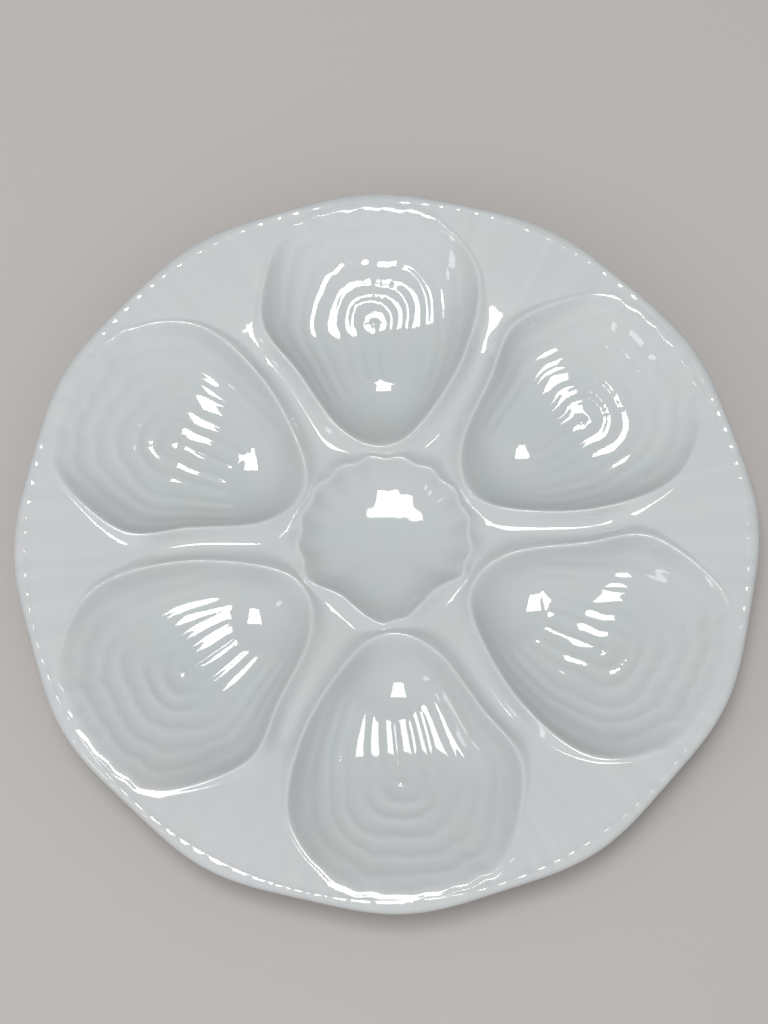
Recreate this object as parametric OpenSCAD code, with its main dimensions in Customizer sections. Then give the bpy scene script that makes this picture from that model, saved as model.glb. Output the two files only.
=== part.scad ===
// Oyster plate: one porcelain casting with six shell-shaped wells round a scalloped sauce well.
// Millimetres, +Z up. The foot stands on z = 0 and the plate's axis is the Z axis.

// The sub-part to draw, or all of them

/* [Plate] */

// Diameter of the rim, midway between its lobes and its hollows
plate_d = 245; // [238:1:262]
// Height of the outer lips above the table
plate_h = 27; // [25:0.5:30]
// How much lower the lips stand beside the sauce well
hub_drop = 8.5; // [6:0.5:9]
// Thickness of the porcelain
wall_t = 4.2; // [3.2:0.1:5]
// How far each lobe of the rim swings out and in
rim_lobe = 0.85; // [0:0.05:1]
// Thickness of the rounded edge
edge_t = 3; // [2.4:0.1:3.6]
// How far the widest line of the edge lies below the crest of the rim
edge_drop = 2.7; // [2:0.1:3.4]
// Width of the rolled rim, from its crest to its edge
roll_w = 3.1; // [2.4:0.1:4]

/* [Oyster wells] */

// Distance from the plate's axis to the narrow end of each well
well_start = 32.3; // [32:0.1:35]
// Distance from the broad end of each well to the rim
well_to_rim = 2.6; // [2.2:0.1:4]
// Width of each well
well_w = 76.2; // [70:0.2:78]
// Height of one growth ridge
ridge_h = 0.4; // [0.2:0.05:0.8]
// How far the scoop at the narrow end lies below the floor of the well
scoop_depth = 0.8; // [0.4:0.1:1.4]
// Radius of the scoop's round bottom
scoop_r = 28; // [24:1:36]
// Turn of the first well from the X axis, in degrees
first_well_turn = 97; // [90:1:104]

/* [Channels] */

// Depth of the channels below the lips, near the sauce well
channel_depth = 3.8; // [2.6:0.2:4.6]
// Depth of the fan-shaped fields below the lips, near the rim
fan_depth = 0.2; // [0.1:0.1:1]
// Roundness of the crests of the lips
lip_r = 0.4; // [0.2:0.1:0.8]
// Depth of the flutes along the rim
flute_depth = 0.3; // [0.2:0.05:0.6]

/* [Sauce well] */

// Diameter of the round part
sauce_d = 57.2; // [52:0.2:58]
// Depth from its lip to its floor
sauce_depth = 8; // [6:0.5:9]
// How far each scallop swings out and in
scallop = 0.5; // [0.3:0.1:0.8]
// How far the well sits to the left of the plate's axis
sauce_shift = 0.85; // [0:0.05:1]
// How far its lip lies below the narrow ends of the wells
sauce_lip_drop = 0.4; // [0.2:0.1:1]
// Direction of its pointed end, in degrees from the X axis
sauce_turn = -86; // [-95:1:-80]

/* [Foot ring] */

// Diameter along the middle of the ring
foot_d = 122; // [100:1:128]
// Height of the ring below the underside of the plate
foot_h = 4.5; // [3:0.5:6]
// Width where it joins the underside
foot_top_w = 8; // [6:0.5:10]
// Width where it stands on the table
foot_sole_w = 4; // [3:0.5:5.5]

/* [Hidden] */

$fn = 96;

glaze_color = "#e3e7e8";
bare_color = "#ddd8cf";

well_count = 6;
sector = 360 / well_count;

// The shell outline runs anticlockwise from the right corner of its broad end.
// Each point is a share of the length from the narrow end and a share of the width.
shell_shares = [
    [0.908, -0.379], [0.971, -0.200], [1.000, -0.035], [0.958, 0.226], [0.869, 0.360],
    [0.552, 0.460], [0.321, 0.316], [0.090, 0.159],
    [0.000, -0.017], [0.063, -0.193],
    [0.330, -0.437], [0.647, -0.540]
];
// Spans between those points that make up each side of the shell
end_spans = 4;
flank_spans = 3;
tip_spans = 2;
// Straight steps drawn in each span
span_steps = 3;

end_n = end_spans * span_steps;
flank_n = flank_spans * span_steps;
tip_n = tip_spans * span_steps;
shell_n = len(shell_shares) * span_steps;
left_heel = end_n + flank_n;
right_heel = left_heel + tip_n;
flute_count = 8;
across_n = 2 * flute_count;
hub_n = well_count * (tip_n + across_n);
rim_n = well_count * (end_n + across_n);

rim_r = plate_d / 2;
well_len = rim_r - well_to_rim - well_start;
scoop_z = foot_h + wall_t;
floor_z = scoop_z + scoop_depth;
hub_z = plate_h - hub_drop;
sauce_lip_z = hub_z - sauce_lip_drop;
edge_z = plate_h - edge_drop;
edge_r = edge_t / 2;
crest_r = rim_r - roll_w;
base_r = foot_d / 2 + foot_top_w;
base_ramp = wall_t * 6;

function mix(a, b, share) = a + (b - a) * share;
function clamp(x) = max(0, min(1, x));
function ease(x) = let (c = clamp(x)) c * c * (3 - 2 * c);
function on_circle(r, a) = [r * cos(a), r * sin(a)];
function spun(p, a) = [p.x * cos(a) - p.y * sin(a), p.x * sin(a) + p.y * cos(a)];
function lifted(p, z) = [p.x, p.y, z];
function total(v, i = 0) = i == len(v) ? 0 : v[i] + total(v, i + 1);
function well_turn(i) = first_well_turn - sector * i;

// The smaller of several lengths, with the changes from one to another rounded
function soft_min(lengths, power) = pow(total([for (x = lengths) pow(x, -power)]), -1 / power);

// Distance from a point to a closed line
function reach(p, line) = min([
    for (k = [0 : len(line) - 1])
        let (a = line[k], d = line[(k + 1) % len(line)] - a)
        norm(p - a - d * clamp((p - a) * d / (d * d)))
]);

// A smooth closed curve through a ring of points
function curve_at(p, i, t) =
    let (
        n = len(p),
        a = p[(i + n - 1) % n], b = p[i], c = p[(i + 1) % n], d = p[(i + 2) % n]
    )
    (2 * b + (c - a) * t + (2 * a - 5 * b + 4 * c - d) * t * t
        + (3 * b - 3 * c + d - a) * t * t * t) / 2;

shell_points = [
    for (s = shell_shares) [well_start + well_len * s[0], well_w * s[1]]
];
shell = [
    for (i = [0 : len(shell_points) - 1], t = [0 : span_steps - 1])
        curve_at(shell_points, i, t / span_steps)
];

// Places along and across the shell, as shares of its length and width
heart_share = [0.545, -0.052];
scoop_share = [0.224, -0.041];
floor_share = [0.425, -0.03];
function in_shell(share) = [well_start + well_len * share.x, well_w * share.y];
shell_heart = in_shell(heart_share);
scoop_heart = in_shell(scoop_share);
floor_heart = in_shell(floor_share);

// Heights: the lips climb from the hub to the rim, a little less steeply further out
function way_out(r) = (r - well_start) / well_len;
function lip_z(r) = let (t = clamp(way_out(r))) mix(hub_z, plate_h, t * (6 - t) / 5);

// Depth between the wells: a rounded V below the lips, over a floor that climbs into the fans
flank_slope = 0.62;
// Shares of the way out, each with the share of the channels' depth left there
run_out_shares = [[0, 1], [0.2, 0.87], [0.52, 0.36], [0.68, 0]];
function floor_depth(r) = mix(fan_depth, channel_depth, lookup(way_out(r), run_out_shares));
function rounded(d) = sqrt(d * d + lip_r * lip_r) - lip_r;
function trough(p, lines) =
    let (away = soft_min([for (line = lines) max(reach(p, line), lip_r / 20)], 5))
    soft_min([max(flank_slope * rounded(away), lip_r / 400), floor_depth(norm(p))], 4);

// The underside is flat over the foot ring. Further out it follows the wells, and runs level
// under the lips between them.
function land_z(r) = lip_z(r) - max(floor_depth(r), wall_t / 3);
function under_z(r, top_z) =
    mix(foot_h, max(foot_h, min(top_z, land_z(r)) - wall_t), ease((r - base_r) / base_ramp));

// Rim: two lobes to each well
function rim_at(a) =
    rim_r + rim_lobe * cos(2 * well_count * (a - first_well_turn + sector / 17));

/* The oyster wells */

// Crests of the growth ridges and the valleys between them, by turns, from the heart to the lip
ring_shares = [0, 0.1, 0.2, 0.27, 0.345, 0.435, 0.525, 0.6, 0.67, 0.75, 0.83, 0.92, 1];
ring_n = len(ring_shares) - 1;
under_shares = [0.5, 0.85, 1];
flat_end_share = 0.39;
end_slope = 0.68;
wall_steepness = 9;

// A point of the bowl, at a share of the way from its heart to outline point k
function bowl_xy(k, share) = mix(shell_heart, shell[k % shell_n], share);

// Level floor, which turns up steeply towards the broad end, with a round scoop in its narrow end
function level_z(p) =
    let (
        out = p - floor_heart,
        bend = well_len * flat_end_share,
        rise = out.x > 0 ? end_slope * (norm([out.x, bend]) - bend) : 0
    )
    floor_z + rise + out.y * out.y / well_w / 6;
function scoop_here_z(p) =
    let (off = p - scoop_heart) scoop_z + off * off / scoop_r / 2;
function bowl_z(k, share) =
    let (
        p = bowl_xy(k, share),
        lip = lip_z(norm(shell[k % shell_n])),
        wall = pow(share, wall_steepness),
        level = min(level_z(p), lip)
    )
    min(mix(level, lip, wall), max(scoop_here_z(p), mix(level, lip, wall * wall)));

// The growth ridges end at the scoop, which is smooth
function ridge_z(k, m) =
    let (
        p = bowl_xy(k, ring_shares[m]),
        above_scoop = clamp((scoop_here_z(p) - level_z(p)) / scoop_depth)
    )
    m >= ring_n - 1 || m % 2 == 0 ? 0 : -ridge_h * above_scoop;

function well_top(m) = [
    for (k = [0 : shell_n - 1])
        let (s = ring_shares[m]) lifted(bowl_xy(k, s), bowl_z(k, s) + ridge_z(k, m))
];
function well_under(s) = [
    for (k = [0 : shell_n - 1])
        let (p = bowl_xy(k, s)) lifted(p, under_z(norm(p), bowl_z(k, s)))
];

// A closed skin through rings of points, with a pole at each end
module skin(rings, first_pole, last_pole) {
    n = len(rings[0]);
    last = len(rings) * n + 1;
    polyhedron(
        points = concat([first_pole], [for (ring = rings, p = ring) p], [last_pole]),
        faces = concat(
            [for (k = [0 : n - 1]) [0, 1 + (k + 1) % n, 1 + k]],
            [
                for (j = [0 : len(rings) - 2], k = [0 : n - 1])
                    let (a = 1 + j * n + k, b = 1 + j * n + (k + 1) % n)
                    each [[a, b, b + n], [a, b + n, a + n]]
            ],
            [for (k = [0 : n - 1]) [last - n + k, last - n + (k + 1) % n, last]]
        )
    );
}

module oyster_well(i) {
    color(glaze_color)
        rotate([0, 0, well_turn(i)])
            skin(
                concat(
                    [for (m = [1 : ring_n]) well_top(m)],
                    [for (m = [len(under_shares) - 1 : -1 : 0]) well_under(under_shares[m])]
                ),
                lifted(shell_heart, bowl_z(0, 0)),
                lifted(shell_heart, under_z(norm(shell_heart), bowl_z(0, 0)))
            );
}

module oyster_well_1() { oyster_well(0); }
module oyster_well_2() { oyster_well(1); }
module oyster_well_3() { oyster_well(2); }
module oyster_well_4() { oyster_well(3); }
module oyster_well_5() { oyster_well(4); }
module oyster_well_6() { oyster_well(5); }

/* The channels and the fan-shaped fields between two wells */

// Both flanks as distance and angle, the far one belonging to the next well
function near_flank(row) =
    let (p = shell[left_heel - row]) [norm(p), atan2(p.y, p.x)];
function far_flank(row) =
    let (p = shell[(right_heel + row) % shell_n]) [norm(p), atan2(p.y, p.x) + sector];

function field_polar(row, j) = mix(near_flank(row), far_flank(row), j / across_n);

// Height of a point between the wells in the first sector, from the two lips that face it
near_lip = shell;
far_lip = [for (p = shell) spun(p, sector)];
function between_z(p) = lip_z(norm(p)) - trough(p, [near_lip, far_lip]);
function field_z(row, j) =
    let (polar = field_polar(row, j))
    j == 0 || j == across_n ? lip_z(polar[0]) : between_z(on_circle(polar[0], polar[1]));

// The flutes grow out of the fans towards the crest of the rim
flute_start_share = 0.95;
flute_full_share = 0.99;
function flute_sink(r, j) =
    flute_depth * (1 - cos(360 * flute_count * j / across_n)) / 2
        * ease((way_out(r) - flute_start_share) / (flute_full_share - flute_start_share));

/* Loops of the body, in the first sector, from the hub out */

function heel_polar(s) =
    let (p = shell[right_heel - s]) [norm(p), atan2(p.y, p.x)];
function end_polar(s) = let (p = shell[s]) [norm(p), atan2(p.y, p.x)];

hub_polar = concat(
    [for (s = [0 : tip_n - 1]) heel_polar(s)],
    [for (j = [0 : across_n - 1]) field_polar(0, j)]
);
hub_top_z = concat(
    [for (s = [0 : tip_n - 1]) lip_z(heel_polar(s)[0])],
    [for (j = [0 : across_n - 1]) field_z(0, j)]
);
end_loop_polar = concat(
    [for (s = [0 : end_n - 1]) end_polar(s)],
    [for (j = [0 : across_n - 1]) field_polar(flank_n, j)]
);
end_top_z = concat(
    [for (s = [0 : end_n - 1]) lip_z(end_polar(s)[0])],
    [for (j = [0 : across_n - 1]) field_z(flank_n, j) - flute_sink(field_polar(flank_n, j)[0], j)]
);

// The crest of the rim runs just outside the broad ends of the shells
crest_gap_share = 0.1;
function crest_at(r) = max(crest_r, mix(r, rim_r, crest_gap_share));
function toward_crest(share) = [
    for (s = [0 : len(end_loop_polar) - 1])
        let (
            from = end_loop_polar[s],
            r = mix(from[0], crest_at(from[0]), share),
            top = share == 1 ? lip_z(r) : between_z(on_circle(r, from[1])),
            sink = s < end_n ? 0 : flute_sink(r, s - end_n)
        )
        [r, top - sink]
];
fan_share = 0.6;
fan_line = toward_crest(fan_share);
crest_line = toward_crest(1);

// The scalloped outline: a circle cut by two hollow sides that meet at the point.
// Radii of the sides are shares of the circle's.
scallop_pitch = 21.2;
scallop_start = 144.3;
side_spread = 38;
side_share = 0.85;
point_share = 0.255;
point_blunt = 3;
function sauce_side(off) =
    let (beyond = max(off - side_spread, 0), near = norm([off, point_blunt]) / side_spread)
    sauce_d / 2 * (side_share + point_share * pow(max(0, 1 - near), 1.6) + pow(beyond / 56, 2));
function sauce_at(a, share = 1) =
    let (
        off = (a - sauce_turn + 540) % 360 - 180,
        wave = scallop * share * share * cos(360 * (off - scallop_start) / scallop_pitch)
    )
    min(sauce_d / 2 + wave, sauce_side(abs(off)));

/* The body, built from loops that go all the way round */

function round_loop(polars, zs) = [
    for (i = [0 : well_count - 1], s = [0 : len(polars) - 1])
        lifted(on_circle(polars[s][0], polars[s][1] + well_turn(0) + sector * i), zs[s])
];
function sauce_loop(share, top) = [
    for (i = [0 : well_count - 1], s = [0 : len(hub_polar) - 1])
        let (
            p = on_circle(hub_polar[s][0], hub_polar[s][1] + well_turn(0) + sector * i),
            a = atan2(p.y, p.x + sauce_shift)
        )
        lifted(on_circle(sauce_at(a, share) * share, a) - [sauce_shift, 0], top)
];

// A loop along the rolled rim, at an angle round its section: 90 is the crest, 0 the widest line
function edge_loop(round_a) = [
    for (i = [0 : well_count - 1], s = [0 : len(end_loop_polar) - 1])
        let (
            a = end_loop_polar[s][1] + well_turn(0) + sector * i,
            rim = rim_at(a),
            upper = round_a > 0,
            r = upper ? mix(crest_line[s][0], rim, cos(round_a))
                : rim - edge_r * (1 - cos(round_a)),
            z = edge_z + sin(round_a) * (upper ? crest_line[s][1] - edge_z : edge_r)
        )
        lifted(on_circle(r, a), z)
];
function under(loop) = [for (p = loop) lifted(p, under_z(norm([p.x, p.y]), p.z))];

// Loops over the pits between the sauce well and the shells
sauce_lip = sauce_loop(1, sauce_lip_z);
hub_loop = round_loop(hub_polar, hub_top_z);
sauce_line = [for (p = sauce_lip) [p.x, p.y]];
all_lips = [for (i = [0 : well_count - 1]) [for (p = shell) spun(p, well_turn(i))]];
function pit_loop(share) = [
    for (k = [0 : hub_n - 1])
        let (
            p = mix(sauce_lip[k], hub_loop[k], share),
            xy = [p.x, p.y],
            closed = trough(xy, concat(all_lips, [sauce_line])),
            open = trough(xy, all_lips),
            lip = mix(sauce_lip_z, lip_z(norm(xy)), share)
        )
        lifted(p, lip - mix(closed, open, pow(share, 8)))
];
pit_shares = [0.18, 0.55];

end_loop = round_loop(end_loop_polar, end_top_z);
function rim_loop(line) = [
    for (i = [0 : well_count - 1], s = [0 : len(line) - 1])
        lifted(on_circle(line[s][0], end_loop_polar[s][1] + well_turn(0) + sector * i), line[s][1])
];

// Rows across the field, between the hub loop and the end loop
field_zs = [
    for (row = [0 : flank_n]) [for (j = [0 : across_n]) field_z(row, j)]
];
function field_rows(top) = [
    for (i = [0 : well_count - 1], row = [1 : flank_n - 1], j = [0 : across_n])
        let (
            p = field_polar(row, j),
            z = field_zs[row][j],
            xy = on_circle(p[0], p[1] + well_turn(0) + sector * i)
        )
        lifted(xy, top ? z - flute_sink(p[0], j) : under_z(p[0], z))
];

row_points = well_count * (flank_n - 1) * (across_n + 1);

sauce_at_i = 0;
hub_at_i = sauce_at_i + hub_n * (1 + len(pit_shares));
rows_at_i = hub_at_i + hub_n;
end_at_i = rows_at_i + row_points;
fan_at_i = end_at_i + rim_n;
round_angles = [90, 45, 0, -90];
edge_at_i = fan_at_i + rim_n;
low_end_at_i = edge_at_i + rim_n * len(round_angles);
low_rows_at_i = low_end_at_i + rim_n;
low_hub_at_i = low_rows_at_i + row_points;
low_sauce_at_i = low_hub_at_i + hub_n;

body_points = concat(
    sauce_lip, [for (s = pit_shares) each pit_loop(s)], hub_loop,
    field_rows(true),
    end_loop, rim_loop(fan_line),
    [for (a = round_angles) each edge_loop(a)],
    under(end_loop), field_rows(false), under(hub_loop), under(sauce_lip)
);

// Place of a field point, on the upper face or the underside
function field_at(low, i, row, j) =
    row == 0 ? (low ? low_hub_at_i : hub_at_i)
        + ((tip_n + across_n) * i + tip_n + j) % hub_n
    : row == flank_n ? (low ? low_end_at_i : end_at_i)
        + ((end_n + across_n) * i + end_n + j) % rim_n
    : (low ? low_rows_at_i : rows_at_i)
        + (i * (flank_n - 1) + row - 1) * (across_n + 1) + j;

// Place of point k of the outline of the well in sector i
function shell_at(low, i, k) =
    k <= end_n ? (low ? low_end_at_i : end_at_i) + (end_n + across_n) * i + k
    : k <= left_heel ? field_at(low, i, left_heel - k, 0)
    : k <= right_heel ? (low ? low_hub_at_i : hub_at_i) + (tip_n + across_n) * i + right_heel - k
    : field_at(low, (i + well_count - 1) % well_count, k - right_heel, across_n);

function quad(a, b, c, d) = [[a, b, c], [a, c, d]];
function loop_faces(from, to, n) = [
    for (k = [0 : n - 1])
        each quad(from + k, from + (k + 1) % n, to + (k + 1) % n, to + k)
];

body_faces = concat(
    loop_faces(low_sauce_at_i, sauce_at_i, hub_n),
    [
        for (e = [0 : len(pit_shares)])
            each loop_faces(sauce_at_i + hub_n * e, sauce_at_i + hub_n * (e + 1), hub_n)
    ],
    loop_faces(low_hub_at_i, low_sauce_at_i, hub_n),
    [
        for (e = [0 : len(round_angles) + 1])
            each loop_faces(end_at_i + rim_n * e, end_at_i + rim_n * (e + 1), rim_n)
    ],
    [
        for (i = [0 : well_count - 1], row = [0 : flank_n - 1], j = [0 : across_n - 1])
            each quad(
                field_at(false, i, row, j), field_at(false, i, row, j + 1),
                field_at(false, i, row + 1, j + 1), field_at(false, i, row + 1, j)
            )
    ],
    [
        for (i = [0 : well_count - 1], row = [0 : flank_n - 1], j = [0 : across_n - 1])
            each quad(
                field_at(true, i, row + 1, j), field_at(true, i, row + 1, j + 1),
                field_at(true, i, row, j + 1), field_at(true, i, row, j)
            )
    ],
    [
        for (i = [0 : well_count - 1], k = [0 : shell_n - 1])
            each quad(
                shell_at(false, i, k + 1), shell_at(false, i, k),
                shell_at(true, i, k), shell_at(true, i, k + 1)
            )
    ]
);

module plate_body() {
    color(glaze_color) polyhedron(points = body_points, faces = body_faces);
}

/* The sauce well */

sauce_ring_shares = [0.45, 0.8, 0.94];
dish_share = 0.46;
function sauce_z(share) =
    sauce_lip_z - sauce_depth * (1 - mix(pow(share, 7), pow(share, 2), dish_share));

module sauce_well() {
    color(glaze_color)
        skin(
            concat(
                [for (s = sauce_ring_shares) sauce_loop(s, sauce_z(s))],
                [sauce_lip, under(sauce_lip)]
            ),
            [-sauce_shift, 0, sauce_z(0)],
            [-sauce_shift, 0, foot_h]
        );
}

/* The foot ring */

sole_r = foot_h / 3;
module foot_ring() {
    color(bare_color)
        rotate_extrude()
            translate([foot_d / 2, 0])
                polygon(concat(
                    [[foot_top_w / 2, foot_h], [-foot_top_w / 2, foot_h]],
                    [
                        for (a = [180 : 30 : 270])
                            [-foot_sole_w / 2 + sole_r + sole_r * cos(a), sole_r + sole_r * sin(a)]
                    ],
                    [
                        for (a = [270 : 30 : 360])
                            [foot_sole_w / 2 - sole_r + sole_r * cos(a), sole_r + sole_r * sin(a)]
                    ]
                ));
}

plate_body();
oyster_well_1();
oyster_well_2();
oyster_well_3();
oyster_well_4();
oyster_well_5();
oyster_well_6();
sauce_well();
foot_ring();
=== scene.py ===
import math
import bmesh
import bpy
import numpy as np
from mathutils import Matrix, Vector


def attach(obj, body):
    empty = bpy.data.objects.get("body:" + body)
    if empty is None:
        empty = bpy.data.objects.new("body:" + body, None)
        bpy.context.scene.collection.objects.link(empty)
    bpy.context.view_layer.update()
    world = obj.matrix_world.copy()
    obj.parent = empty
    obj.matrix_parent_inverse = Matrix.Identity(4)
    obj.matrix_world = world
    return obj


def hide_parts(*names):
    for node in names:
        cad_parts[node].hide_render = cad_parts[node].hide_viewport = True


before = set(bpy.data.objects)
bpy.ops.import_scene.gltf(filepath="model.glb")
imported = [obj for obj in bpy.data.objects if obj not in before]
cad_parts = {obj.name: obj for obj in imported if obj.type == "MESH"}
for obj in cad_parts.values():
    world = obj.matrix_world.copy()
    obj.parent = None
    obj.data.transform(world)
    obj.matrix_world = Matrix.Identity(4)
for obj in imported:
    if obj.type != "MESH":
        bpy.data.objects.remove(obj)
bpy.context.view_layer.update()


# The view
# A camera held about 0.6 m away looks down on the plate from the near side, at 74 degrees to
# the table. The plate almost fills the width of the picture.

view_away_mm = 603.3
view_tilt_deg = 73.8
view_roll_deg = 0.97
view_aim_mm = (-1.2, 7.25, 25.0)
view_focal_px = 1819.4
view_width_px = 768
sensor_mm = 36

tilt = math.radians(view_tilt_deg)
roll = math.radians(view_roll_deg)
ahead = Vector((0, math.cos(tilt), -math.sin(tilt)))
level = Vector((1, 0, 0))
upright = level.cross(ahead)
across = level * math.cos(roll) + upright * math.sin(roll)
upward = -level * math.sin(roll) + upright * math.cos(roll)
stand = (Vector(view_aim_mm) - ahead * view_away_mm) / 1000

camera_data = bpy.data.cameras.new("table_view")
camera_data.sensor_fit = "HORIZONTAL"
camera_data.sensor_width = sensor_mm
camera_data.lens = sensor_mm * (view_focal_px / view_width_px)
camera_data.clip_start = 0.01
camera = bpy.data.objects.new("table_view", camera_data)
camera.matrix_world = Matrix.Translation(stand) @ Matrix(
    (across, upward, -ahead)).transposed().to_4x4()
bpy.context.collection.objects.link(camera)
bpy.context.scene.camera = camera


# The casting
# One piece of hard white porcelain, pressed in a plaster mould and glazed: six equal oyster
# shells and the fields between them repeat every 60 degrees round a scalloped well.

# The lip of one shell, with the narrow end towards the plate's middle at the origin. The spline
# runs through these points from the right corner of the broad end.
outline_mm = [
    (112.1, -28.9), (117.7, -15.2), (119.9, -2.8), (116.0, 17.2), (108.3, 27.3),
    (80.8, 34.9), (60.5, 24.1), (40.1, 12.1), (32.4, -1.3), (37.8, -14.7),
    (61.3, -33.3), (89.1, -41.2),
]
end_spans = 4
flank_spans = 3
tip_spans = 2
heart = np.array((80.0, -4.0))
shell_count = 6
sector_deg = 360 / shell_count
first_turn_deg = 97

# The lips rise from the shells' narrow ends, this far from the middle, to the rim, one shell's
# length further out, in a slight bow.
hub_mm = 18.5
lip_mm = 26.8
tip_mm = 32.4
shell_mm = 87.5
lip_bow = 0.2

# The clay, the foot below it and the rounded rim with its twelve soft lobes
wall_mm = 4.2
foot_mm = 4.5
foot_reach_mm = 69
underside_rise_mm = 25
land_deepest_mm = 3.9
rim_mm = 122.48
lobe_mm = 0.85
lobe_count = 12
lobe_turn_deg = 3.5
crest_mm = 119.4
edge_mm = 1.5
edge_top_mm = 25.8

# The broad ends of the lips are cut back a little and waved.
wavy_from_mm = 100
wavy_over_mm = 14
wavy_cut_mm = 0.9
wavy_mm = 0.35
wavy_count = 84

# The sauce well's lip: a scalloped circle, and two ogee sides that meet in a point
sauce_at_mm = np.array((-0.85, 0.0))
sauce_mm = 28.6
sauce_lip_mm = 18.1
sauce_turn_deg = -86
scallop_mm = 0.55
scallop_from_deg = 144.3
scallop_deg = 21.2
sauce_side_mm = 24.3
point_mm = 7.3
point_deg = 38
point_power = 1.6
point_round_deg = 3
side_swell_mm = 0.009
lip_blend_mm = 0.4


def ease(x):
    """Goes from 0 to 1 with a soft start and a soft end."""
    x = np.clip(x, 0, 1)
    return x * x * (3 - 2 * x)


def shell_outline(steps):
    """The lip of one shell: a smooth closed curve through its points, wavy at the broad end."""
    p = np.array(outline_mm)
    a, b, c, d = (np.roll(p, s, 0)[:, None] for s in (1, 0, -1, -2))
    t = (np.arange(steps) / steps)[None, :, None]
    curve = (2 * b + (c - a) * t + (2 * a - 5 * b + 4 * c - d) * t ** 2
             + (3 * b - 3 * c + d - a) * t ** 3) / 2
    curve = curve.reshape(-1, 2)
    turn = np.arctan2(curve[:, 1], curve[:, 0])
    cut = (ease((curve[:, 0] - wavy_from_mm) / wavy_over_mm)
           * (wavy_cut_mm + wavy_mm * np.cos(wavy_count * turn)))
    return curve * (1 - cut / np.hypot(*curve.T))[:, None]


def spun(xy, deg):
    """Points turned about the plate's middle."""
    a = math.radians(deg)
    return xy @ np.array(((math.cos(a), math.sin(a)), (-math.sin(a), math.cos(a))))


def sauce_outline(a, scalloped=1.0):
    """The sauce well's lip: its distance from the well's own middle at each angle."""
    off = (np.degrees(a) - sauce_turn_deg + 540) % 360 - 180
    far = np.abs(off)
    scallops = np.cos(np.radians((off - scallop_from_deg) * 360 / scallop_deg))
    round_part = sauce_mm + scallop_mm * scalloped * scallops
    near_tip = np.sqrt(far ** 2 + point_round_deg ** 2)
    side = (sauce_side_mm + point_mm * np.clip(1 - near_tip / point_deg, 0, 1) ** point_power
            + side_swell_mm * np.clip(far - point_deg, 0, 99) ** 2)
    return -lip_blend_mm * np.logaddexp(-round_part / lip_blend_mm, -side / lip_blend_mm)


def lip_height(r):
    """The level of the lips: lowest in the middle, highest at the rim."""
    out = np.clip((r - tip_mm) / shell_mm, 0, 1)
    return (sauce_lip_mm + (hub_mm - sauce_lip_mm) * ease((r - sauce_mm) / (tip_mm - sauce_mm))
            + (lip_mm - hub_mm) * out * (1 + lip_bow - lip_bow * out))


# How deep the floor between the shells may lie below the lips: a channel near the middle, which
# runs out into a fan that is almost level with the lips at the rim
floor_at_mm = (70, 76, 80, 84, 88, 94, 100, 106, 112, 118)
floor_deep_mm = (6.0, 4.0, 2.6, 1.85, 1.4, 0.9, 0.5, 0.25, 0.17, 0.16)


def floor_depth(r):
    """The depth of that floor at a distance from the middle."""
    return np.interp(r, floor_at_mm, floor_deep_mm)


def underside(r, top):
    """The lower face: a wall's thickness under the upper one, and level over the foot."""
    land = lip_height(r) - np.clip(floor_depth(r), wall_mm / 3, land_deepest_mm)
    low = np.minimum(top, land) - wall_mm
    return foot_mm + (np.maximum(low, foot_mm) - foot_mm) * ease(
        (r - foot_reach_mm) / underside_rise_mm)


def crest(d, soft=1.0):
    """Rounds a lip: the distance from it, eased to nothing at the crest."""
    return np.sqrt(d * d + soft * soft) - soft


lip_steps = 24
sweep_deg = 1.5
lip_curve = shell_outline(lip_steps)
sweep = np.radians(np.arange(0, 360, sweep_deg))
sauce_curve = sauce_at_mm + (sauce_outline(sweep)[:, None]
                             * np.stack((np.cos(sweep), np.sin(sweep)), 1))


def nearest(xy, curve):
    """Distance from each point to a closed line, some thousand points at a time."""
    start, along = curve, np.roll(curve, -1, 0) - curve
    out = []
    for p in np.array_split(xy, len(xy) // 2000 + 1):
        t = np.clip(((p[:, None] - start) * along).sum(2) / (along ** 2).sum(1), 0, 1)
        out.append(np.linalg.norm(start + along * t[..., None] - p[:, None], axis=2).min(1))
    return np.concatenate(out)


def polar(p):
    """Distance from the plate's middle, and angle in degrees."""
    return np.hypot(*p.T), np.degrees(np.arctan2(p[:, 1], p[:, 0]))


gap_span_mm = (36, 86)
gap_places = 26


def gap_between(steps=12):
    """Half the width of the channel between two lips, by distance from the middle."""
    edge = shell_outline(steps)
    left_corner, left_heel = end_spans * steps, (end_spans + flank_spans) * steps
    left = edge[left_corner:left_heel + 1][::-1]
    right = edge[left_heel + tip_spans * steps:]
    r = np.linspace(*gap_span_mm, gap_places)
    left_deg, right_deg = (np.interp(r, *polar(p)) for p in (left, right))
    return r, r * np.radians(sector_deg + right_deg - left_deg) / 2


half_gap = gap_between()

# The channel's section is a smooth U: this deep at these distances, with both lips rounded.
# Halfway between two lips the blended distance is a fixed share of half the gap.
blend_power = 8
least_away_mm = 0.02
least_fall_mm = 0.001
lip_soft_mm = 0.8
middle_share = 0.917
middle_loss_mm = 0.75
hollow_at_mm = (32, 75)
hollow_deep_mm = (2.8, 4.0)

# Further out the flanks fall straight from the lips to the floor of the fan.
flank_slope = 0.62
flank_from_mm = 74
flank_over_mm = 10

# Ribs stand on the fan between its flutes, and rise to beads on the crest of the rim. They
# sway a little, as hand-cut ones do.
flute_deg = sector_deg / 20
rib_mm = 0.06
rib_from_mm = 84
rib_over_mm = 16
rib_clear_mm = 4
bead_mm = 0.24
bead_from_mm = 117.4
bead_over_mm = 2
sway_deg, sway_count = 0.45, 18
small_sway_deg, small_sway_count, small_sway_from_deg = 0.3, 30, 50
crest_dip_mm = 0.06
crest_ease_mm = 0.9


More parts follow.
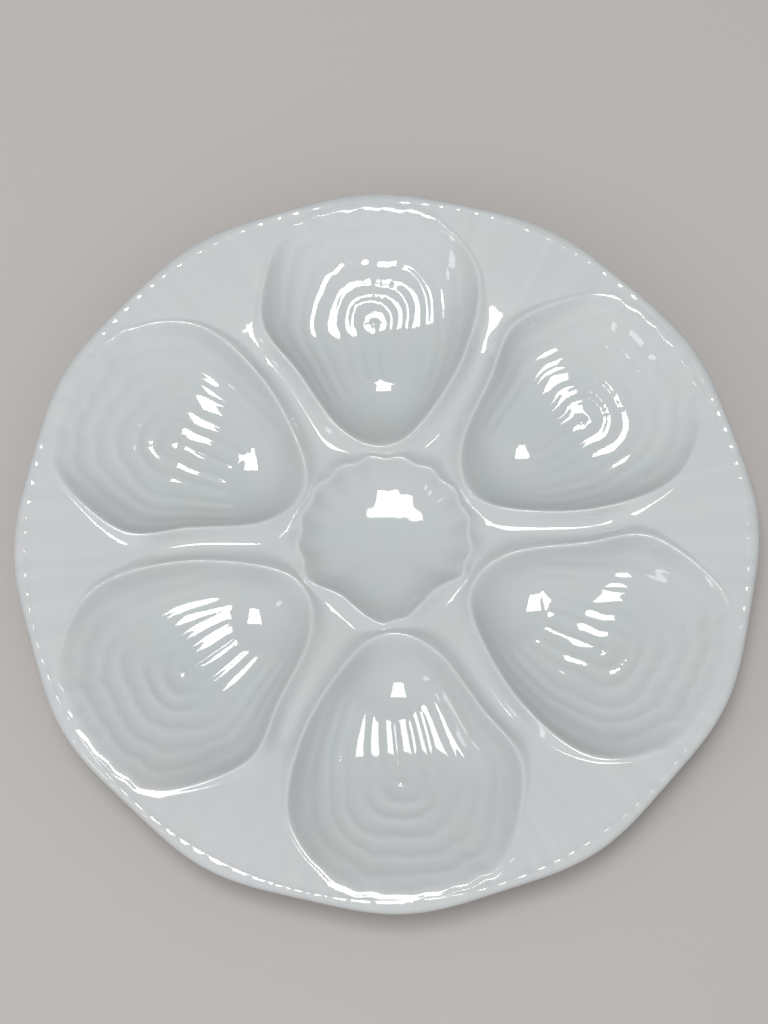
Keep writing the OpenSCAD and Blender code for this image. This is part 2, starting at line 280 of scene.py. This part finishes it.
def trough(xy, from_lips, fluted=True):
    """Depth between the wells: a U-shaped channel that opens into a fan, which climbs almost
    to the lips. Fluted, it has ribs that stand up as beads on the crest of the rim."""
    r = np.hypot(*xy.T)
    away = sum(np.maximum(d, least_away_mm) ** -blend_power
               for d in from_lips) ** (-1 / blend_power)
    share = np.clip(crest(away, lip_soft_mm)
                    / (middle_share * np.interp(r, *half_gap) - middle_loss_mm), 0, 1)
    hollow = np.interp(r, hollow_at_mm, hollow_deep_mm) * share * (2 - share)
    fall = hollow + (flank_slope * crest(away, lip_soft_mm) - hollow) * ease(
        (r - flank_from_mm) / flank_over_mm)
    floor = floor_depth(r) - crest_dip_mm * ease((r - crest_mm + crest_ease_mm) / crest_ease_mm)
    depth = (np.maximum(fall, least_fall_mm) ** -blend_power
             + floor ** -blend_power) ** (-1 / blend_power)
    if fluted:
        turn = np.degrees(np.arctan2(xy[:, 1], xy[:, 0]))
        turn = turn + sway_deg * np.sin(np.radians(turn * sway_count)) + small_sway_deg * np.sin(
            np.radians(turn * small_sway_count + small_sway_from_deg))
        rib = (2 * ((turn / flute_deg) % 1) - 1) ** 2 * ease(away / rib_clear_mm)
        depth = depth - rib * (rib_mm * ease((r - rib_from_mm) / rib_over_mm)
                               + bead_mm * ease((r - bead_from_mm) / bead_over_mm))
    return depth


def field_height(xy, fluted=True):
    """The face between two shells, in the frame of the first."""
    lips = [nearest(spun(xy, -sector_deg * k), lip_curve) for k in (0, 1)]
    return lip_height(np.hypot(*xy.T)) - trough(xy, lips, fluted)


# One shell in its own frame, u outwards and v across: a floor that turns up towards the broad
# end, and a round scoop at the narrow end. Curves are in 1/mm, slopes and twist are bare.
well = dict(bottom_u=69.5, bottom_v=-2.3, floor=9.5, curve_u=0.02, curve_v=0.0042,
            slope_out=0.66, slope_in=0.02, twist=-0.0003,
            scoop_u=51.9, scoop_v=-3.1, scoop_curve_u=0.036, scoop_curve_v=0.034,
            scoop_drop=0.8, wall=7.5)
shell_reach_mm = 38
well_lip_soft_mm = 1.0
scoop_blend_mm = 0.12
scoop_edge_mm = 0.5
seam_power = 40

# Growth lines: where they lie from the middle of the shell to its lip, and how high they stand
growth_shares = [0, 0.2, 0.345, 0.525, 0.67, 0.83, 1.0]
growth_mm = [0.2, 0.14, 0.13, 0.15, 0.17, 0.17, 0.1]
overtone = 0.2
line_start = 0.08

# Beyond this distance from the middle the lines go round the shell, and over the last stretch
# before it they turn there from lying side by side.
bent_from_mm = heart[0] + 2
bend_over_mm = 10
broad_from, broad_over = 0.2, 0.9

# Waves of the lines at the broad end: how far they reach, as a share of the space between two
# lines, how many there are round the shell, and where they start. Then a slow sway of them all.
broad_waves = ((0.12, 5, 2), (0.1, 9, 1), (0.12, 16, 5))
line_sway_share = 0.14
line_sway = ((0.11, 0.21, 1), (0.17, -0.13, 0))
sway_grows = 3

# Near the middle the lines stand higher at the broad end, and all of them die out at the lip.
outer_loss_share = 0.1
inner_gain_share = 0.8
gain_from_share, gain_over_share = 0.35, 0.3
fade_from_share, fade_over_share = 0.9, 0.09


def bowl(xy, share, lip):
    """The plain shell without its growth ridges, and how much of it is floor, not scoop."""
    u, v = xy[..., 0] - well["bottom_u"], xy[..., 1] - well["bottom_v"]
    slope = np.where(u > 0, well["slope_out"], well["slope_in"])
    bend = slope / well["curve_u"]
    floor = (well["floor"] + slope * bend * (np.sqrt(1 + (u / bend) ** 2) - 1)
             + well["curve_v"] * v ** 2 / 2 + well["twist"] * u * v)
    inward = 1 - crest((1 - share) * shell_reach_mm, well_lip_soft_mm) / shell_reach_mm
    floor = np.minimum(floor, lip)
    floor = floor + (lip - floor) * inward ** well["wall"]
    scoop = (well["floor"] - well["scoop_drop"]
             + well["scoop_curve_u"] * (xy[..., 0] - well["scoop_u"]) ** 2 / 2
             + well["scoop_curve_v"] * (xy[..., 1] - well["scoop_v"]) ** 2 / 2)
    scoop = scoop + (lip - scoop) * inward ** (2 * well["wall"])
    # The blend of two equal levels lies log(2) too low, so it is raised to meet the lip.
    low = scoop_blend_mm * (math.log(2) * inward ** seam_power
                            - np.logaddexp(-floor / scoop_blend_mm, -scoop / scoop_blend_mm))
    return low, ease((scoop - floor) / scoop_edge_mm)


dense_steps = 60
flank_end_mm = 95
flank_split_mm = heart[1] + 2.7
dense = shell_outline(dense_steps)
upper = dense[(dense[:, 1] > flank_split_mm) & (dense[:, 0] < flank_end_mm)]
lower = dense[(dense[:, 1] <= flank_split_mm) & (dense[:, 0] < flank_end_mm)]
upper, lower = (line[np.argsort(line[:, 0])] for line in (upper, lower))


def growth_ridges(xy, share, ribbed):
    """Growth lines: they run out from the scoop side by side, and bend round at the broad
    end, where they are wavy."""
    u, v = xy[..., 0], xy[..., 1] - heart[1]
    turn = np.arctan2(v, u - heart[0])
    width = np.where(v > 0, np.interp(u, *upper.T) - heart[1], heart[1] - np.interp(u, *lower.T))
    side = np.abs(v) / np.maximum(width, 1)
    near = ease((bent_from_mm - u) / bend_over_mm)
    where = share * (1 - near) + side * near
    broad = ease((np.cos(turn) + broad_from) / broad_over)
    line = np.interp(where, growth_shares, range(len(growth_shares)))
    line = line + broad * where ** 2 * sum(
        reach * np.sin(count * turn + start) for reach, count, start in broad_waves)
    sway = line_sway_share
    for along_u, along_v, start in line_sway:
        sway = sway * np.sin(along_u * u + along_v * v + start)
    line = line + sway * ease(where * sway_grows)
    inner = 1 - ease((where - gain_from_share) / gain_over_share)
    height = (np.interp(where, growth_shares, growth_mm)
              * (1 - outer_loss_share * broad + inner_gain_share * broad * inner))
    wave = (np.cos(2 * np.pi * (line + line_start))
            + overtone * np.cos(4 * np.pi * (line + line_start)))
    return ribbed * height * wave * (1 - ease((share - fade_from_share) / fade_over_share))


def shell_surface(steps, rings, low):
    """One shell as rings from its heart to its lip, above or below."""
    edge = shell_outline(steps)
    lip = lip_height(np.linalg.norm(edge, axis=1))
    share = np.array(rings)[:, None]
    xy = heart + (edge - heart)[None] * share[..., None]
    z, ribbed = bowl(xy, share, lip[None])
    if low:
        z = underside(np.linalg.norm(xy, axis=2), z)
    else:
        z = np.minimum(z + growth_ridges(xy, share, ribbed), lip[None])
    return np.dstack((xy, z))


def field_lines(steps):
    """Distance and angle along the two lips that face each other over a channel."""
    edge = shell_outline(steps)
    left = (end_spans + flank_spans) * steps
    right = left + tip_spans * steps
    rows = np.arange(flank_spans * steps + 1)
    near, far = (np.stack(polar(p), 1)
                 for p in (edge[left - rows], edge[(right + rows) % len(edge)]))
    far[:, 1] += sector_deg
    return near, far


def field_surface(steps, columns, low):
    """The channel between two shells, which opens into a fluted fan at the rim."""
    near, far = field_lines(steps)
    w = np.array(columns)[None, :]
    r = near[:, :1] + (far[:, :1] - near[:, :1]) * w
    a = np.radians(near[:, 1:] + (far[:, 1:] - near[:, 1:]) * w)
    xy = np.stack((r * np.cos(a), r * np.sin(a)), 2)
    z = field_height(xy.reshape(-1, 2), not low).reshape(r.shape)
    z[:, [0, -1]] = lip_height(r[:, [0, -1]])
    return np.dstack((xy, underside(r, z) if low else z))


def rim_radius(a):
    """The rim's outline with its soft lobes."""
    return rim_mm + lobe_mm * np.cos(lobe_count * (a + np.radians(lobe_turn_deg)))


least_rim_share = 0.1
row_power = 1.7


def rim_rows(steps, columns, rows, low):
    """From the broad ends of the shells and the fans out to the crest of the rim. The rows
    lie closer together towards the crest, where the beads are."""
    shell = shell_surface(steps, [1.0], low)[0][:end_spans * steps + 1]
    fan = field_surface(steps, columns, low)[-1]
    inner = np.concatenate((shell, fan[1:]))
    a, r = np.arctan2(inner[:, 1], inner[:, 0]), np.hypot(inner[:, 0], inner[:, 1])
    top = np.maximum(crest_mm, r + least_rim_share * (rim_mm - r))
    out = [inner]
    for t in 1 - np.linspace(1, 0, rows)[1:] ** row_power:
        ring = r + (top - r) * t
        xy = np.stack((ring * np.cos(a), ring * np.sin(a)), 1)
        z = field_height(xy, not low)
        out.append(np.column_stack((xy, underside(ring, z) if low else z)))
    return out, a, top


def in_metres(points_mm):
    """Points of a grid in mm, as the mesh takes them."""
    return [tuple(p / 1000) for p in points_mm]


same_point_m = 1e-7


class Skin:
    """Collects grids of points as faces."""

    def __init__(self):
        self.points, self.faces = [], []

    def grid(self, rows, closed=False, turned=False):
        rows = np.asarray(rows)
        start, n = len(self.points), rows.shape[1]
        self.points += in_metres(rows.reshape(-1, 3))
        for i in range(rows.shape[0] - 1):
            for k in range(n if closed else n - 1):
                a, b = start + i * n + k, start + i * n + (k + 1) % n
                face = (a, a + n, b + n, b)
                self.faces.append(face[::-1] if turned else face)

    def mesh(self, name):
        mesh = bpy.data.meshes.new(name)
        mesh.from_pydata(self.points, [], self.faces)
        work = bmesh.new()
        work.from_mesh(mesh)
        bmesh.ops.remove_doubles(work, verts=work.verts, dist=same_point_m)
        work.to_mesh(mesh)
        work.free()
        return mesh


# The upper face has three steps for each one of the underside, which nobody sees up close. The
# columns lie closer together at the lips, and so do the rings.
coarse = 4
finer = 3
fine = coarse * finer
column_count = 60
lip_share = 0.4
fine_columns = [(1 - math.cos(math.pi * k / column_count)) / 2 * lip_share
                + k / column_count * (1 - lip_share) for k in range(column_count + 1)]
coarse_columns = fine_columns[::finer]
ring_count = 48
last_even_share = 0.94
fine_rings = [last_even_share * k / ring_count for k in range(ring_count + 1)]
fine_rings += [0.952, 0.964, 0.976, 0.986, 0.994, 1]
coarse_rings = [0.0, 0.2, 0.4, 0.6, 0.75, 0.88, 0.95, 1]

sector = Skin()
sector.grid(shell_surface(fine, fine_rings, False), closed=True)
sector.grid(field_surface(fine, fine_columns, False))
rows, around, top = rim_rows(fine, fine_columns, 10, False)
sector.grid(rows)

# The rim rolls over from the crest to its edge, and under it.
roll_steps = 12
roll_power = 0.9
roll_rows = [rows[-1]]
edge_r = rim_radius(around)
dip = lip_mm - rows[-1][:, 2]
edge_middle_mm = edge_top_mm - edge_mm
for k in range(1, roll_steps + 1):
    turn = math.pi / 2 - math.pi * k / roll_steps
    if k <= roll_steps / 2:
        r = top + (edge_r - top) * math.cos(turn) ** roll_power
        z = (edge_middle_mm
             + (lip_mm - edge_top_mm + edge_mm - dip) * math.sin(turn) ** roll_power)
    else:
        r = edge_r - edge_mm * (1 - math.cos(turn))
        z = edge_middle_mm + edge_mm * math.sin(turn)
    roll_rows.append(np.stack((r * np.cos(around), r * np.sin(around), z + 0 * r), 1))
sector.grid(roll_rows)

sector.grid(shell_surface(coarse, coarse_rings, True), closed=True, turned=True)
sector.grid(field_surface(coarse, coarse_columns, True), turned=True)
inner = rim_rows(coarse, coarse_columns, 2, True)[0][0]
outer = roll_rows[-1][::finer]
sector.grid([inner + (outer - inner) * t for t in (0, 0.5, 1)], turned=True)

# Under the edge, three fine steps meet each coarse one.
start = len(sector.points)
n = len(roll_rows[-1])
sector.points += in_metres(roll_rows[-1]) + in_metres(outer)
for k in range(len(outer) - 1):
    a, b = start + finer * k, start + n + k
    sector.faces += [(a, b, a + 1), (a + 1, b, a + 2), (a + 2, b, b + 1), (a + 2, b + 1, a + 3)]

shell_and_field = bpy.data.objects.new("shell_and_field", sector.mesh("shell_and_field"))
bpy.context.collection.objects.link(shell_and_field)


# Porcelain glaze: a clear, hard, fired glass skin over white clay. It gives sharp reflections
# and a slight ripple where it ran. Its colour carries painted shade: darker in the hollows, and
# faint darker streaks on the fans.

shaded_hollow_glaze = "#BBC0C1"
open_glaze = "#C6C9CA"
streak_shade_glaze = "#AEB4B6"


def linear(code):
    """sRGB hex to linear."""
    parts = [int(code[i:i + 2], 16) / 255 for i in (1, 3, 5)]
    return [c / 12.92 if c <= 0.04045 else ((c + 0.055) / 1.055) ** 2.4 for c in parts] + [1]


def add(tree, kind, settings=None, inputs=None, links=()):
    """Adds a node with its settings, its inputs' values and its links in."""
    node = tree.nodes.new(kind)
    for name, value in (settings or {}).items():
        setattr(node, name, value)
    for name, value in (inputs or {}).items():
        node.inputs[name].default_value = value
    for source, name in links:
        tree.links.new(source, node.inputs[name])
    return node


smooth = {"interpolation_type": "SMOOTHSTEP"}
colours = {"data_type": "RGBA"}

glaze = bpy.data.materials.new("clear_glazed_porcelain")
glaze.use_nodes = True
tree = glaze.node_tree
tree.nodes.clear()
place = add(tree, "ShaderNodeTexCoord").outputs["Object"]
parts = add(tree, "ShaderNodeSeparateXYZ", links=[(place, 0)])

# Painted shade by height over the table: the glaze is painted darker at the floor of the wells, 8
# mm up, than at the lips, from 22 mm up. A faint cloud, about 22 mm across, keeps it from being
# flat.
painted_shade_by_height = add(tree, "ShaderNodeMapRange", smooth,
             {"From Min": 0.008, "From Max": 0.022}, [(parts.outputs["Z"], "Value")])
cloud = add(tree, "ShaderNodeTexNoise", None, {"Scale": 45.0, "Detail": 2.0}, [(place, "Vector")])

# The streaks are painted shade, standing for the shading of the fans' flutes, and keep to the fans.
# They fade out from 1 to 2.5 mm below the level of the lips, which rises 9 mm in 100 mm outwards,
# and start 78 mm from the middle.
flat = add(tree, "ShaderNodeVectorMath", {"operation": "MULTIPLY"}, {1: (1, 1, 0)}, [(place, 0)])
radius = add(tree, "ShaderNodeVectorMath", {"operation": "LENGTH"}, None, [(flat.outputs[0], 0)])
lip_line = add(tree, "ShaderNodeMath", {"operation": "MULTIPLY_ADD"}, {1: -0.09, 2: -0.0162},
               [(radius.outputs["Value"], 0)])
over_lip = add(tree, "ShaderNodeMath", {"operation": "ADD"}, None,
               [(lip_line.outputs[0], 0), (parts.outputs["Z"], 1)])
on_land = add(tree, "ShaderNodeMapRange", smooth,
              {"From Min": -0.0025, "From Max": -0.001}, [(over_lip.outputs[0], "Value")])
in_fan = add(tree, "ShaderNodeMapRange", smooth,
             {"From Min": 0.078, "From Max": 0.1, "To Max": 0.13},
             [(radius.outputs["Value"], "Value")])

# They run outwards: a noise on the angle about the middle. Its join is on the far side, where a
# well leaves it little more than the roll of the rim to cross.
back = add(tree, "ShaderNodeMath", {"operation": "MULTIPLY"}, {1: -1.0}, [(parts.outputs["Y"], 0)])
angle = add(tree, "ShaderNodeMath", {"operation": "ARCTAN2"}, None,
            [(parts.outputs["X"], 0), (back.outputs[0], 1)])
streak = add(tree, "ShaderNodeTexNoise", {"noise_dimensions": "1D"}, {"Scale": 17.0, "Detail": 2.0},
             [(angle.outputs[0], "W")])
run = add(tree, "ShaderNodeMapRange", smooth,
          {"From Min": 0.35, "From Max": 0.65}, [(streak.outputs["Fac"], "Value")])
fan_run = add(tree, "ShaderNodeMath", {"operation": "MULTIPLY"}, None,
              [(run.outputs["Result"], 0), (in_fan.outputs["Result"], 1)])
painted_streak_shade = add(tree, "ShaderNodeMath", {"operation": "MULTIPLY"}, None,
               [(fan_run.outputs[0], 0), (on_land.outputs["Result"], 1)])

# Painted shade: the darker hollow colour is mixed in towards the floor of the wells.
painted_shade_tone = add(tree, "ShaderNodeMix", colours,
           {"A": linear(shaded_hollow_glaze), "B": linear(open_glaze)}, [(painted_shade_by_height.outputs[0], "Factor")])
clouded = add(tree, "ShaderNodeMix", {"data_type": "RGBA", "blend_type": "MULTIPLY"},
              {"Factor": 0.05}, [(painted_shade_tone.outputs["Result"], "A"), (cloud.outputs["Color"], "B")])
# Painted shade: darker radial streaks laid on the fans in place of the flutes' shading.
streak_shaded = add(tree, "ShaderNodeMix", colours, {"B": linear(streak_shade_glaze)},
               [(painted_streak_shade.outputs[0], "Factor"), (clouded.outputs["Result"], "A")])

# The ripple of the fired glaze: about 4 mm from wave to wave, and far too low to be felt.
ripple = add(tree, "ShaderNodeTexNoise", None, {"Scale": 260.0, "Detail": 1.0},
             [(place, "Vector")])
bump = add(tree, "ShaderNodeBump", None, {"Strength": 0.12, "Distance": 0.00004},
           [(ripple.outputs["Fac"], "Height")])
shader = add(tree, "ShaderNodeBsdfPrincipled", None,
             {"Roughness": 0.04, "IOR": 1.5},
             [(streak_shaded.outputs["Result"], "Base Color"), (bump.outputs["Normal"], "Normal")])
add(tree, "ShaderNodeOutputMaterial", links=[(shader.outputs["BSDF"], "Surface")])

# The mould's six equal sectors are one tree: copies turned about the plate's axis.
seam_m = 0.000001
ring_tree = bpy.data.node_groups.new("equal_sectors", "GeometryNodeTree")
sockets = {}
for name, kind, value in (("Sector", "NodeSocketGeometry", None),
                          ("Shells", "NodeSocketInt", shell_count),
                          ("First turn", "NodeSocketFloat", 0.0),
                          ("Seam", "NodeSocketFloat", seam_m),
                          ("Glaze", "NodeSocketMaterial", None)):
    sockets[name] = ring_tree.interface.new_socket(name, in_out="INPUT", socket_type=kind)
    if value is not None:
        sockets[name].default_value = value
ring_tree.interface.new_socket("Plate", in_out="OUTPUT", socket_type="NodeSocketGeometry")
given = add(ring_tree, "NodeGroupInput").outputs
points = add(ring_tree, "GeometryNodePoints", links=[(given["Shells"], "Count")])
index = add(ring_tree, "GeometryNodeInputIndex")
pitch = add(ring_tree, "ShaderNodeMath", {"operation": "DIVIDE"}, {0: 2 * math.pi},
            [(given["Shells"], 1)])
turn = add(ring_tree, "ShaderNodeMath", {"operation": "MULTIPLY_ADD"}, None,
           [(index.outputs[0], 0), (pitch.outputs[0], 1), (given["First turn"], 2)])
turned = add(ring_tree, "ShaderNodeCombineXYZ", links=[(turn.outputs[0], "Z")])
copies = add(ring_tree, "GeometryNodeInstanceOnPoints",
             links=[(points.outputs[0], "Points"), (given["Sector"], "Instance"),
                    (turned.outputs[0], "Rotation")])
real = add(ring_tree, "GeometryNodeRealizeInstances", links=[(copies.outputs[0], "Geometry")])
seamless = add(ring_tree, "GeometryNodeMergeByDistance",
               links=[(real.outputs[0], "Geometry"), (given["Seam"], "Distance")])
coated = add(ring_tree, "GeometryNodeSetMaterial",
             links=[(seamless.outputs[0], "Geometry"), (given["Glaze"], "Material")])
add(ring_tree, "NodeGroupOutput", links=[(coated.outputs[0], "Plate")])

repeat = shell_and_field.modifiers.new("equal_sectors", "NODES")
repeat.node_group = ring_tree
repeat[sockets["Shells"].identifier] = shell_count
repeat[sockets["First turn"].identifier] = math.radians(first_turn_deg)
repeat[sockets["Seam"].identifier] = seam_m
repeat[sockets["Glaze"].identifier] = glaze
settled = shell_and_field.evaluated_get(bpy.context.evaluated_depsgraph_get())
outer_plate = bpy.data.meshes.new_from_object(settled)
bpy.data.objects.remove(shell_and_field)


# The sauce well
# The scalloped well in the middle, part of the same casting: a round bowl with two ogee sides
# that meet in a point. The saddles round it join the narrow ends of the shells.

sauce_deep_mm = 8.0
sauce_curve_mm = 280
sauce_wall = 7
saddle_power = 8
sauce_ring_shares = [k / 16 for k in range(15)] + [0.91, 0.94, 0.96, 0.975, 0.99, 1]
saddle_shares = (0.04, 0.09, 0.15, 0.22, 0.3, 0.38, 0.46, 0.54, 0.62, 0.7, 0.78, 0.85, 0.91, 0.96)


def hub_line(steps, columns, low):
    """The loop of shell tips and channel mouths, round the whole plate."""
    edge = shell_surface(steps, [1.0], low)[0]
    right = (end_spans + flank_spans + tip_spans) * steps
    tips = edge[[right - k for k in range(tip_spans * steps)]]
    part = np.concatenate((tips, field_surface(steps, columns, low)[0][:-1]))
    return np.concatenate([np.column_stack((spun(part[:, :2], first_turn_deg + sector_deg * i),
                                            part[:, 2])) for i in range(shell_count)])


def sauce_rings(shares, a):
    """Rings of the bowl from its middle to its lip. The scallops fade towards the middle."""
    rings = []
    for s in shares:
        r = s * sauce_outline(a, s ** 2)
        inward = 1 - crest((1 - s) * sauce_mm, well_lip_soft_mm) / sauce_mm
        bowl_rise = sauce_mm ** 2 / sauce_curve_mm
        z = (sauce_lip_mm - sauce_deep_mm + sauce_mm ** 2 * inward ** 2 / sauce_curve_mm
             + (sauce_deep_mm - bowl_rise) * inward ** sauce_wall)
        xy = sauce_at_mm + np.stack((r * np.cos(a), r * np.sin(a)), 1)
        rings.append(np.column_stack((xy, np.full(len(a), z))))
    return rings


hub_skin = Skin()
hub = hub_line(fine, fine_columns, False)
a = np.arctan2(*(hub[:, :2] - sauce_at_mm).T[::-1])
sauce_lip = sauce_rings([1.0], a)[0]
between = [sauce_lip]
for t in saddle_shares:
    xy = sauce_lip[:, :2] + (hub - sauce_lip)[:, :2] * t
    lips = [nearest(spun(xy, -first_turn_deg - sector_deg * k), lip_curve)
            for k in range(shell_count)]
    open_depth = trough(xy, lips, False)
    depth = trough(xy, lips + [nearest(xy, sauce_curve)], False)
    z = lip_height(np.hypot(*xy.T)) - depth - (open_depth - depth) * t ** saddle_power
    between.append(np.column_stack((xy, z)))
between.append(hub)
hub_skin.grid(between, closed=True)
hub_skin.grid(sauce_rings(sauce_ring_shares, a), closed=True)
low_hub = hub_line(coarse, coarse_columns, True)
hub_skin.grid([low_hub * (t, t, 1) for t in (0, 0.5, 1)], closed=True, turned=True)

casting = bmesh.new()
casting.from_mesh(outer_plate)
casting.from_mesh(hub_skin.mesh("hub"))
bmesh.ops.remove_doubles(casting, verts=casting.verts, dist=2 * seam_m)
bmesh.ops.dissolve_degenerate(casting, edges=casting.edges, dist=same_point_m)
plate_mesh = bpy.data.meshes.new("glazed_plate")
casting.to_mesh(plate_mesh)
casting.free()
plate_mesh.materials.clear()
plate_mesh.materials.append(glaze)
for face in plate_mesh.polygons:
    face.use_smooth = True
    face.material_index = 0
plate = bpy.data.objects.new("glazed_plate", plate_mesh)
bpy.context.collection.objects.link(plate)
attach(plate, "root")
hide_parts("plate_body", "sauce_well",
            *["oyster_well_%d" % k for k in range(1, shell_count + 1)])


# The foot
# The ring that the plate stands on, turned in the same clay. The glaze is wiped off it before
# firing, or it would stick to the kiln shelf, so it shows the bare, matt, slightly warm body.

pale_biscuit = "#D8D2C8"
dark_biscuit = "#C9C1B4"

# Unglazed porcelain: fine grit, 0.4 mm from grain to grain, gives it a dry, matt face, and
# handling leaves faint stains about 17 mm across.
bare = bpy.data.materials.new("bare_porcelain_biscuit")
bare.use_nodes = True
tree = bare.node_tree
tree.nodes.clear()
place = add(tree, "ShaderNodeTexCoord").outputs["Object"]
grit = add(tree, "ShaderNodeTexNoise", None, {"Scale": 2500.0, "Detail": 3.0},
           [(place, "Vector")])
stain = add(tree, "ShaderNodeTexNoise", None, {"Scale": 60.0, "Detail": 4.0},
            [(place, "Vector")])
clay = add(tree, "ShaderNodeMix", colours,
           {"A": linear(pale_biscuit), "B": linear(dark_biscuit)},
           [(stain.outputs["Fac"], "Factor")])
tooth = add(tree, "ShaderNodeBump", None, {"Strength": 0.5, "Distance": 0.00008},
            [(grit.outputs["Fac"], "Height")])
shader = add(tree, "ShaderNodeBsdfPrincipled", None, {"Roughness": 0.8, "IOR": 1.5},
             [(clay.outputs["Result"], "Base Color"), (tooth.outputs["Normal"], "Normal")])
add(tree, "ShaderNodeOutputMaterial", links=[(shader.outputs["BSDF"], "Surface")])
foot = bpy.data.objects["foot_ring"]
foot.data.materials.clear()
foot.data.materials.append(bare)


# The table
# A plain, pale, matt top, 4 m square, which carries the plate and takes its shadow.

table_colour = "#B9B5B2"
table_half_m = 2

table_mesh = bpy.data.meshes.new("table")
table_mesh.from_pydata([(x * table_half_m, y * table_half_m, 0)
                        for x, y in ((-1, -1), (1, -1), (1, 1), (-1, 1))], [], [(0, 1, 2, 3)])
table = bpy.data.objects.new("table", table_mesh)
bpy.context.collection.objects.link(table)
table_top = bpy.data.materials.new("plain_table")
table_top.use_nodes = True
tree = table_top.node_tree
tree.nodes.clear()
shader = add(tree, "ShaderNodeBsdfPrincipled", None,
             {"Base Color": linear(table_colour), "Roughness": 0.9, "Specular IOR Level": 0.1})
add(tree, "ShaderNodeOutputMaterial", links=[(shader.outputs["BSDF"], "Surface")])
table_mesh.materials.append(table_top)


# The light
# Soft light from all round, a little stronger from the near side and above, and two windows
# whose images show in the glaze: one above the plate, and a dimmer one low on the left.

room_dark, room_bright = 0.22, 0.85
bright_side = (0.0, -0.75, 0.66)

world = bpy.data.worlds.new("room")
bpy.context.scene.world = world
world.use_nodes = True
tree = world.node_tree
tree.nodes.clear()
toward = add(tree, "ShaderNodeTexCoord").outputs["Generated"]
side = add(tree, "ShaderNodeVectorMath", {"operation": "DOT_PRODUCT"}, {1: bright_side},
           [(toward, 0)])
wall = add(tree, "ShaderNodeMapRange", smooth,
           {"From Min": -0.5, "From Max": 1.0, "To Min": room_dark, "To Max": room_bright},
           [(side.outputs["Value"], "Value")])
air = add(tree, "ShaderNodeBackground", links=[(wall.outputs["Result"], "Strength")])
add(tree, "ShaderNodeOutputWorld", links=[(air.outputs["Background"], "Surface")])


def window_light(name, width_m, depth_m, brightness):
    """An even rectangle of light that faces down."""
    data = bpy.data.lights.new(name, "AREA")
    data.shape = "RECTANGLE"
    data.size, data.size_y = width_m, depth_m
    data.energy = brightness * math.pi * width_m * depth_m
    return data


# The near window narrows towards one side, as a window does when it is seen aslant: its half
# width goes from 0.31 to 0.5 of the whole, with a soft edge.
window_data = window_light("window", 0.43, 0.48, 16)
window_data.use_nodes = True
tree = window_data.node_tree
tree.nodes.clear()
pane = add(tree, "ShaderNodeSeparateXYZ", links=[
    (add(tree, "ShaderNodeNewGeometry").outputs["Parametric"], 0)])
middle = add(tree, "ShaderNodeMath", {"operation": "SUBTRACT"}, {1: 0.5},
             [(pane.outputs["X"], 0)])
off_middle = add(tree, "ShaderNodeMath", {"operation": "ABSOLUTE"}, None, [(middle.outputs[0], 0)])
reach = add(tree, "ShaderNodeMapRange", None, {"To Min": 0.31, "To Max": 0.5},
            [(pane.outputs["Y"], "Value")])
inside = add(tree, "ShaderNodeMath", {"operation": "SUBTRACT"}, None,
             [(reach.outputs["Result"], 0), (off_middle.outputs[0], 1)])
shine = add(tree, "ShaderNodeMapRange", smooth,
            {"From Min": -0.01, "From Max": 0.02}, [(inside.outputs[0], "Value")])
light = add(tree, "ShaderNodeEmission", None, None, [(shine.outputs["Result"], "Strength")])
add(tree, "ShaderNodeOutputLight", links=[(light.outputs["Emission"], "Surface")])
window = bpy.data.objects.new("window", window_data)
window.location = (-0.1, -0.08, 1.25)
bpy.context.collection.objects.link(window)

far_window_at = (-1.02, -0.59, 0.88)
far_window = bpy.data.objects.new("far_window", window_light("far_window", 0.16, 0.34, 4.5))
far_window.location = far_window_at
far_window.rotation_euler = Vector(far_window_at).to_track_quat("Z", "Y").to_euler()
bpy.context.collection.objects.link(far_window)

bpy.context.scene.view_settings.view_transform = "Standard"
